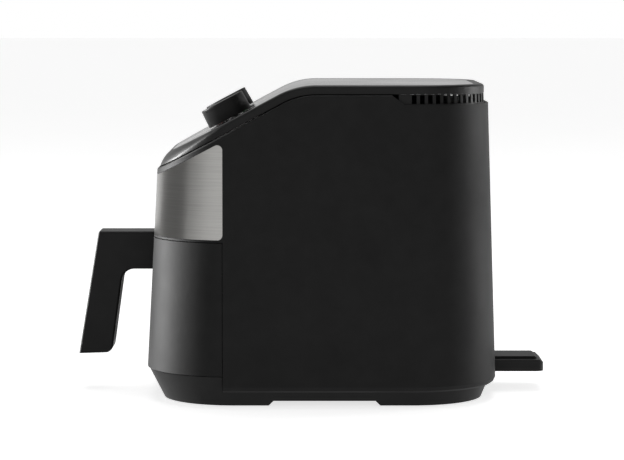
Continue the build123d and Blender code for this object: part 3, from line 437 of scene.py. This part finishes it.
def roof(y):
    """Height of the top surface at y, and how steep it is there."""
    behind = BEND_CENTRE[0] - y
    if behind <= 0:
        return CREST, 0.0
    if behind < BEND * math.sin(SLOPE):
        rise = math.sqrt(BEND**2 - behind**2)
        return BEND_CENTRE[1] + rise, behind / rise
    return CREST + (y - KNEE) * math.tan(SLOPE), math.tan(SLOPE)


def lean(z):
    """Half width and front edge of the housing at height z."""
    share = (z - WALL_FOOT) / WALL_HEIGHT
    return HALF_AT_FOOT - HALF_LOSS * share, FRONT_AT_FOOT + FRONT_LOSS * share


TOP_HALF, TOP_FRONT = lean(CREST)


def drape(piece, inset, front_inset):
    """Lays a flat piece, modelled at z = 0, over the roof line."""
    for vertex in piece.data.vertices:
        x, y, drop = vertex.co
        half, front = lean(roof(y)[0])
        x *= (half - inset) / (TOP_HALF - inset)
        if y < 0:
            y *= (front + front_inset) / (TOP_FRONT + front_inset)
        height, steep = roof(y)
        vertex.co = (x, y, height + drop * math.sqrt(1 + steep**2))


def slice_for_bend(piece):
    """Cuts a flat piece into small faces, close together where it will bend (cuts in mm)."""
    bend_cuts = [5.6 - 2.4 * i for i in range(17)]
    slope_cuts, rear_cuts = list(range(-140, -40, 10)), list(range(20, 170, 15))
    side_cuts = range(-120, 130, 12)
    open_piece(piece)
    for normal, places in (((0, 1, 0), bend_cuts + slope_cuts + rear_cuts), ((1, 0, 0), side_cuts)):
        for place in places:
            bpy.ops.mesh.select_all(action="SELECT")
            bpy.ops.mesh.bisect(plane_co=Vector(normal) * place * MM, plane_no=normal)
    close_piece()


print("roof at the front edge:", round(roof(TOP_FRONT)[0] / MM, 1), "mm")

# %% [markdown]
# ## The lid
#
# The lid is a thin moulded tray turned upside down. Its edge is rolled over with a small radius
# at the sides and a much larger one at the nose, where a hand passes over it, and a shallow
# pocket in its top holds the glossy panel. A flat tray is built by insetting the top face of a
# rounded slab again and again, which gives a staircase of rings. Each ring is then set on the
# edge profile, which can change from the sides to the nose because every ring keeps its place
# round the corner. Solidify gives the wall.

# %% Profile of the lid's edge
LID_INSET, LID_FRONT_INSET, LID_DEPTH = 3.6 * MM, 2.4 * MM, 8.4 * MM
SIDE_ROLL, NOSE_ROLL, NOSE_LIP = 3.2 * MM, 18 * MM, 0.9 * MM
ROLL_STEPS = 10
POCKET, PANEL_INSET = 1.5 * MM, 14 * MM

lid_half, lid_front = TOP_HALF - LID_INSET, TOP_FRONT + LID_FRONT_INSET
lid_rear, lid_corner = 171.55 * MM, 76.2 * MM
panel_half, panel_front = TOP_HALF - PANEL_INSET, TOP_FRONT + PANEL_INSET
panel_rear, panel_corner = 161.15 * MM, 65.8 * MM


def rolled_edge(radius, depth):
    """(inset, drop) from the lid's lower edge up to its flat top, over part of an arc."""
    reach = math.acos(max(0.0, 1 - depth / radius))
    start = radius * (1 - math.sin(reach))
    turns = [reach * (1 - i / ROLL_STEPS) for i in range(ROLL_STEPS + 1)]
    return [(radius * (1 - math.sin(t)) - start, radius * (1 - math.cos(t))) for t in turns]


side_edge = [(0.0, LID_DEPTH)] + rolled_edge(SIDE_ROLL, SIDE_ROLL)
nose_edge = [(0.0, LID_DEPTH)] + rolled_edge(NOSE_ROLL, LID_DEPTH - NOSE_LIP)
print("nose rolls over", round(nose_edge[-1][0] / MM, 1), "mm")

# %% A staircase of rings
STAIR, TREAD = 1 * MM, 0.8 * MM
CORNER_CUTS = 24
pocket_edge = [(0.25 * MM, 0.0), (0.15 * MM, 0.1 * MM), (0.15 * MM, POCKET)]
RINGS = len(side_edge) + len(pocket_edge)
bpy.ops.object.select_all(action="DESELECT")
bpy.ops.mesh.primitive_cube_add(
    size=1,
    location=(0, (lid_front + lid_rear) / 2, STAIR / 2),
    scale=(2 * lid_half, lid_rear - lid_front, STAIR),
)
lid = bpy.context.object
lid.name = "lid"
bpy.ops.object.transform_apply(location=True, rotation=True, scale=True)
open_piece(lid)
pick(lid, "edges", lambda e: abs(e.verts[0].co.z - e.verts[1].co.z) > STAIR / 2)
bpy.ops.mesh.bevel(offset=lid_corner, segments=CORNER_CUTS, affect="EDGES", clamp_overlap=False)
pick(lid, "faces", lambda f: f.normal.z < -0.9)
bpy.ops.mesh.delete(type="FACE")
pick(lid, "faces", lambda f: f.normal.z > 0.9)
for _ in range(2, RINGS):
    bpy.ops.mesh.inset(thickness=TREAD)
    bpy.ops.transform.translate(value=(0, 0, STAIR))
close_piece()
print("rings:", RINGS, "points:", len(lid.data.vertices))

# %% Set each ring on the profile
NOSE_FROM, NOSE_OVER = 0.15, 0.75
RIM_LEFT = 0.8 * MM


def corner_of(point, half, front, rear, radius):
    """The centre of the rounded corner that a point of the outline belongs to."""
    y = front + radius if point.y < (front + rear) / 2 else rear - radius
    return Vector((math.copysign(half - radius, point.x), y, 0))


for vertex in lid.data.vertices:
    ring = round(vertex.co.z / STAIR)
    flat = Vector((vertex.co.x, vertex.co.y, 0))
    centre = corner_of(flat, lid_half, lid_front, lid_rear, lid_corner)
    outward = (flat - centre).normalized()
    nose = min(1.0, max(0.0, (-outward.y - NOSE_FROM) / NOSE_OVER))
    nose = nose * nose * (3 - 2 * nose)
    pocket = corner_of(flat, panel_half, panel_front, panel_rear, panel_corner)
    if ring < len(side_edge):
        inset, drop = (a + (b - a) * nose for a, b in zip(side_edge[ring], nose_edge[ring]))
        widest = side_edge[-1][0] + (nose_edge[-1][0] - side_edge[-1][0]) * nose
        room = (centre - pocket).dot(outward) + lid_corner - panel_corner - RIM_LEFT
        place = centre + outward * (lid_corner - inset * min(1.0, room / widest))
    else:
        gap, drop = pocket_edge[ring - len(side_edge)]
        place = pocket + outward * (panel_corner + gap)
    vertex.co = (place.x, place.y, -drop)

# %% Drape it and give it a wall
WALL, WELD = 2.3 * MM, 0.02 * MM
slice_for_bend(lid)
drape(lid, LID_INSET, LID_FRONT_INSET)
open_piece(lid)
bpy.ops.mesh.select_all(action="SELECT")
bpy.ops.mesh.remove_doubles(threshold=WELD)
bpy.ops.mesh.normals_make_consistent(inside=False)
close_piece()
modify(lid, "SOLIDIFY", thickness=WALL, offset=-1.0)

# %% [markdown]
# The dials and the two lamps reach through the lid and the panel. One set of cutters, standing
# square to the slope, is used for both.

# %% Cutters for the dials and lamps
DIAL_X, DIAL_Y = 55 * MM, -79.75 * MM
SLOPE_UP = Vector((0, -math.sin(SLOPE), math.cos(SLOPE)))
ALONG = Vector((0, math.cos(SLOPE), math.sin(SLOPE)))
DIAL_ORIGIN = Vector((0, DIAL_Y, roof(DIAL_Y)[0]))
SHAFT_HOLE, LAMP_HOLE, LAMP_SLIDE, CUT_DEPTH = 6.0 * MM, 3.3 * MM, 12 * MM, 24 * MM
holes = [
    (DIAL_X, 0, SHAFT_HOLE),
    (-DIAL_X, 0, SHAFT_HOLE),
    (0, -LAMP_SLIDE, LAMP_HOLE),
    (0, LAMP_SLIDE, LAMP_HOLE),
]
bpy.ops.object.select_all(action="DESELECT")
cutters = []
for x, slide, radius in holes:
    place = DIAL_ORIGIN + ALONG * slide + Vector((x, 0, 0))
    bpy.ops.mesh.primitive_cylinder_add(
        vertices=48, radius=radius, depth=CUT_DEPTH, location=place, rotation=(SLOPE, 0, 0)
    )
    cutters.append(bpy.context.object)
for cutter in cutters:
    cutter.select_set(True)
bpy.ops.object.join()
cutter = bpy.context.object


def cut_holes(piece):
    bpy.ops.object.select_all(action="DESELECT")
    modify(piece, "BOOLEAN", object=cutter, operation="DIFFERENCE", solver="EXACT")


cut_holes(lid)
complete(lid, "lid_black", stands_for=["top_cover"])

# %% [markdown]
# ## The control panel
#
# The panel is a slab 1.5 mm thick that fills the pocket. It is made flat in the same way, draped
# over the same roof line, and its upper edge is eased by a third of a millimetre so that it
# catches a thin line of light along the gap.

# %% Panel
EASED, SLACK = 0.35 * MM, 0.04 * MM
bpy.ops.object.select_all(action="DESELECT")
bpy.ops.mesh.primitive_cube_add(
    size=1,
    location=(0, (panel_front + panel_rear) / 2, -POCKET / 2),
    scale=(2 * panel_half, panel_rear - panel_front, POCKET - SLACK),
)
face = bpy.context.object
face.name = "panel"
bpy.ops.object.transform_apply(location=True, rotation=True, scale=True)
open_piece(face)
pick(face, "edges", lambda e: abs(e.verts[0].co.z - e.verts[1].co.z) > POCKET / 2)
bpy.ops.mesh.bevel(offset=panel_corner, segments=CORNER_CUTS, affect="EDGES", clamp_overlap=False)
pick(face, "edges", lambda e: min(v.co.z for v in e.verts) > -0.1 * MM)
bpy.ops.mesh.bevel(offset=EASED, segments=2, affect="EDGES")
close_piece()
slice_for_bend(face)
drape(face, PANEL_INSET, PANEL_INSET)
cut_holes(face)
complete(face, "panel_gloss", stands_for=["control_panel"])
bpy.data.objects.remove(cutter)

# %% [markdown]
# ## The dials
#
# Each dial is a moulded cap on a steel shaft. Its skirt leans in slightly so that it leaves the
# mould, a fine groove under the crown separates the part that the fingers turn, and the crown's
# edge is rounded. One dial is modelled upright from a cylinder, then tilted to the slope, and the
# second is a copy with its own mesh.

# %% One dial, upright
DIAL_RADIUS, DIAL_LOW, DIAL_HIGH = 23.2 * MM, 1.0 * MM, 19.4 * MM
DRAFT = 0.975
GROOVE_DOWN, GROOVE_HALF, GROOVE_DEPTH = 2.95 * MM, 0.25 * MM, 0.45 * MM
CROWN_ROUND, FOOT_ROUND = 0.9 * MM, 0.4 * MM
SKIRT_WALL, RECESS = 2.2 * MM, 1.2 * MM
bpy.ops.object.select_all(action="DESELECT")
bpy.ops.mesh.primitive_cylinder_add(
    vertices=128,
    radius=DIAL_RADIUS,
    depth=DIAL_HIGH - DIAL_LOW,
    location=(0, 0, (DIAL_HIGH + DIAL_LOW) / 2),
)
dial = bpy.context.object
dial.name = "temperature_dial"
bpy.ops.object.transform_apply(location=True, rotation=True, scale=True)
open_piece(dial)
pick(dial, "faces", lambda f: f.normal.z > 0.9)
bpy.ops.transform.resize(value=(DRAFT, DRAFT, 1))
groove = DIAL_HIGH - GROOVE_DOWN
for z in (groove - GROOVE_HALF, groove + GROOVE_HALF):
    bpy.ops.mesh.select_all(action="SELECT")
    bpy.ops.mesh.bisect(plane_co=(0, 0, z), plane_no=(0, 0, 1))
pick(dial, "faces", lambda f: abs(f.calc_center_median().z - groove) < 0.2 * MM)
bpy.ops.mesh.extrude_region_shrink_fatten(TRANSFORM_OT_shrink_fatten={"value": -GROOVE_DEPTH})
pick(dial, "edges", lambda e: min(v.co.z for v in e.verts) > DIAL_HIGH - 0.01 * MM)
bpy.ops.mesh.bevel(offset=CROWN_ROUND, segments=4, affect="EDGES")
pick(dial, "edges", lambda e: max(v.co.z for v in e.verts) < DIAL_LOW + 0.01 * MM)
bpy.ops.mesh.bevel(offset=FOOT_ROUND, segments=2, affect="EDGES")
pick(dial, "faces", lambda f: f.normal.z < -0.9 and len(f.verts) > 8)
bpy.ops.mesh.inset(thickness=SKIRT_WALL)
bpy.ops.transform.translate(value=(0, 0, RECESS))
close_piece()

# %% Slot for the pointer's inlay
bpy.ops.object.select_all(action="DESELECT")
bpy.ops.mesh.primitive_cube_add(
    size=1,
    location=(0, 14.35 * MM, DIAL_HIGH + 0.1 * MM),
    scale=(2.3 * MM, 12.9 * MM, 1.8 * MM),
)
slot_cutter = bpy.context.object
bpy.ops.object.select_all(action="DESELECT")
modify(dial, "BOOLEAN", object=slot_cutter, operation="DIFFERENCE", solver="EXACT")
bpy.data.objects.remove(slot_cutter)

# %% Tilt it to the slope and copy it
second = dial.copy()
second.data = dial.data.copy()
second.name = "timer_dial"
bpy.context.scene.collection.objects.link(second)
for piece, x, body, stands_for in (
    (dial, DIAL_X, "temperature_dial", "temperature_knob"),
    (second, -DIAL_X, "timer_dial", "timer_knob"),
):
    piece.rotation_euler = (SLOPE, 0, 0)
    piece.location = DIAL_ORIGIN + Vector((x, 0, 0))
    complete(piece, "knob_black", body=body, stands_for=[stands_for])

# %% [markdown]
# ## The printed scales
#
# Round each dial the panel carries a plain printed scale: short strokes with a few numbers. Ink has
# almost no thickness, but a separate sliver of a tenth of a millimetre shows cleanly from every
# side. The numbers come from Blender's own font, turned into mesh, and the same short stroke is
# repeated round the circle.

# %% Scales
INK = 0.06 * MM
STROKE_RING, STROKE_WIDTH, STROKE_LENGTH = 27.2 * MM, 0.5 * MM, 2.2 * MM
NUMBER_RING, NUMBER_SIZE = 33.0 * MM, 4.4 * MM


def on_panel(x, radius, degrees, lift=0.0):
    """A place round a dial, degrees clockwise from its off position at the top."""
    turn = math.radians(90 - degrees)
    return (
        DIAL_ORIGIN
        + Vector((x + radius * math.cos(turn), 0, 0))
        + ALONG * radius * math.sin(turn)
        + SLOPE_UP * lift
    )


def printed_scale(name, x, sweep, strokes, numbers):
    """Strokes over the sweep of a dial and numbers at even steps."""
    bpy.ops.object.select_all(action="DESELECT")
    made = []
    for i in range(strokes + 1):
        degrees = sweep * i / strokes
        bpy.ops.mesh.primitive_cube_add(
            size=1,
            location=on_panel(x, STROKE_RING, degrees, INK / 2),
            scale=(STROKE_WIDTH, STROKE_LENGTH, INK),
        )
        stroke = bpy.context.object
        stroke.rotation_mode = "QUATERNION"
        outward = (on_panel(x, 2 * MM, degrees) - on_panel(x, 1 * MM, degrees)).normalized()
        turned = Matrix((outward.cross(SLOPE_UP), outward, SLOPE_UP)).transposed()
        stroke.rotation_quaternion = turned.to_quaternion()
        made.append(stroke)
    for i, text in enumerate(numbers):
        degrees = sweep * i / (len(numbers) - 1)
        bpy.ops.object.text_add(location=on_panel(x, NUMBER_RING, degrees), rotation=(SLOPE, 0, 0))
        mark = bpy.context.object
        mark.data.body = text
        mark.data.size = NUMBER_SIZE
        mark.data.extrude = INK
        mark.data.align_x = "CENTER"
        mark.data.align_y = "CENTER"
        bpy.ops.object.convert(target="MESH")
        made.append(bpy.context.object)
    bpy.ops.object.select_all(action="DESELECT")
    for part in made:
        part.select_set(True)
    bpy.context.view_layer.objects.active = made[0]
    bpy.ops.object.join()
    scale = bpy.context.object
    scale.name = name
    return complete(scale, "pointer_white")


printed_scale("temperature_scale", DIAL_X, 270, 27, ["0", "80", "120", "160", "200"])
printed_scale("timer_scale", -DIAL_X, 300, 30, ["0", "10", "20", "30", "40", "50", "60"])

# %% [markdown]
# ## Floor, lamps and camera
#
# A product like this is pictured on a pale sweep with large soft lamps. Black plastic shows
# almost only what it mirrors, so the room is pale behind the fryer and beside its flat side, and
# dim in the directions between. The top then mirrors pale paper, and the rounded corners fall
# off into the dark. The surroundings are a world whose brightness depends on the direction in
# the room, which stays put when the camera moves.

# %% Floor
FLOOR_SIZE, FLOOR_DROP, FLOOR_GLOW = 60, 0.2 * MM, 0.72
bpy.ops.object.select_all(action="DESELECT")
bpy.ops.mesh.primitive_plane_add(size=FLOOR_SIZE, location=(0, 0, -FLOOR_DROP))
floor = bpy.context.object
floor.name = "studio_floor"
paper = Finish("lit_sweep", specular=0.2)
paper.tones(paper.noise(3, 3), grey(0.80), grey(0.84))
paper.sheen(paper.noise(8, 3), 0.75, 0.85)
paper.shader.inputs["Emission Color"].default_value = (1, 1, 1, 1)
paper.shader.inputs["Emission Strength"].default_value = FLOOR_GLOW
floor.data.materials.append(paper.material)
floor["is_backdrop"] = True

# %% Surroundings
world = bpy.data.worlds.new("studio")
bpy.context.scene.world = world
world.use_nodes = True
tree = world.node_tree
tree.nodes.clear()
direction = tree.nodes.new("ShaderNodeTexCoord")
parts = tree.nodes.new("ShaderNodeSeparateXYZ")
fade = tree.nodes.new("ShaderNodeValToRGB")
fade.color_ramp.interpolation = "EASE"
rungs = fade.color_ramp.elements
depths = ((0.10, 0.62), (0.28, 0.07), (0.70, 0.06), (0.90, 0.85))
while len(rungs) < len(depths):
    rungs.new(0.5)
for rung, (position, level) in zip(rungs, depths):
    rung.position = position
    rung.color = (level, level, level, 1)
forward = tree.nodes.new("ShaderNodeMapRange")
forward.inputs["From Min"].default_value = -1.0
room = tree.nodes.new("ShaderNodeBackground")
backdrop = tree.nodes.new("ShaderNodeBackground")
backdrop.inputs["Color"].default_value = (1, 1, 1, 1)
backdrop.inputs["Strength"].default_value = 1.0
seen = tree.nodes.new("ShaderNodeLightPath")
either = tree.nodes.new("ShaderNodeMixShader")
out = tree.nodes.new("ShaderNodeOutputWorld")
tree.links.new(direction.outputs["Generated"], parts.inputs[0])
tree.links.new(parts.outputs["X"], forward.inputs["Value"])
tree.links.new(forward.outputs["Result"], fade.inputs["Fac"])
tree.links.new(fade.outputs["Color"], room.inputs["Color"])
tree.links.new(seen.outputs["Is Camera Ray"], either.inputs[0])
tree.links.new(room.outputs[0], either.inputs[1])
tree.links.new(backdrop.outputs[0], either.inputs[2])
tree.links.new(either.outputs[0], out.inputs["Surface"])

# %% Lamps


def softbox(name, place, aim, width, height, power):
    """A rectangular lamp that the camera doesn't see."""
    light = bpy.data.lights.new(name, "AREA")
    light.shape = "RECTANGLE"
    light.size = width
    light.size_y = height
    light.energy = power
    lamp = bpy.data.objects.new(name, light)
    bpy.context.scene.collection.objects.link(lamp)
    lamp.location = place
    lamp.rotation_euler = (Vector(aim) - Vector(place)).to_track_quat("-Z", "Y").to_euler()
    lamp.visible_camera = False
    lamp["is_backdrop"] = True
    return lamp


MIDDLE = (0.0, 0.0, 0.16)
softbox("overhead", (-0.6, 0.0, 3.0), MIDDLE, 2.0, 2.0, 40)
front_strip = softbox("front_strip", (-0.75, -2.6, 0.45), MIDDLE, 0.5, 1.8, 330)
softbox("rear_strip", (-1.0, 2.6, 0.45), MIDDLE, 0.4, 1.6, 23)

# %% [markdown]
# The strip at the front draws the long soft highlight down the plastic corner. On the brushed
# band it would burn out to white, so it is linked to every piece but the band.

# %% Link the front strip to the plastic pieces
plastics = bpy.data.collections.new("lit_by_front_strip")
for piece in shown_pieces():
    if "steel_band" not in piece.name:
        plastics.objects.link(piece)
front_strip.light_linking.receiver_collection = plastics

# %% [markdown]
# Brushed steel needs something dark to mirror beside something light, or it looks like grey
# paint. A dark card lies on the floor in front of the fryer, widening as it goes away, so it
# fills one range of directions. Only reflections see it: the floor and the camera do not.

# %% Dark card
bpy.ops.object.select_all(action="DESELECT")
bpy.ops.mesh.primitive_plane_add(size=1, location=(0, 0, 0.001))
card = bpy.context.object
card.name = "dark_card"
FAR_EDGE, NEAR_EDGE = (-3.0, 1.0, -3.4), (-0.03, 0.13, -0.22)
for vertex in card.data.vertices:
    left, right, y = FAR_EDGE if vertex.co.y < 0 else NEAR_EDGE
    vertex.co = (left if vertex.co.x < 0 else right, y, 0)
felt = Finish("felt", specular=0.0)
felt.tones(felt.noise(40, 2), grey(0.34), grey(0.38))
felt.sheen(felt.noise(40, 2), 0.95, 1.0)
card.data.materials.append(felt.material)
card.visible_camera = False
card.visible_diffuse = False
card.visible_shadow = False
card.visible_transmission = False
card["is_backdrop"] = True

# %% Camera
lens_view = bpy.data.cameras.new("side_view")
lens_view.lens = 141.35
lens_view.sensor_width = 36.0
camera = bpy.data.objects.new("side_view", lens_view)
bpy.context.scene.collection.objects.link(camera)
camera.location = (2.4902, 0.001, 0.3854)
camera.rotation_euler = (math.radians(90 - 5.154), 0, math.radians(90))
bpy.context.scene.camera = camera
bpy.context.scene.view_settings.view_transform = "Standard"
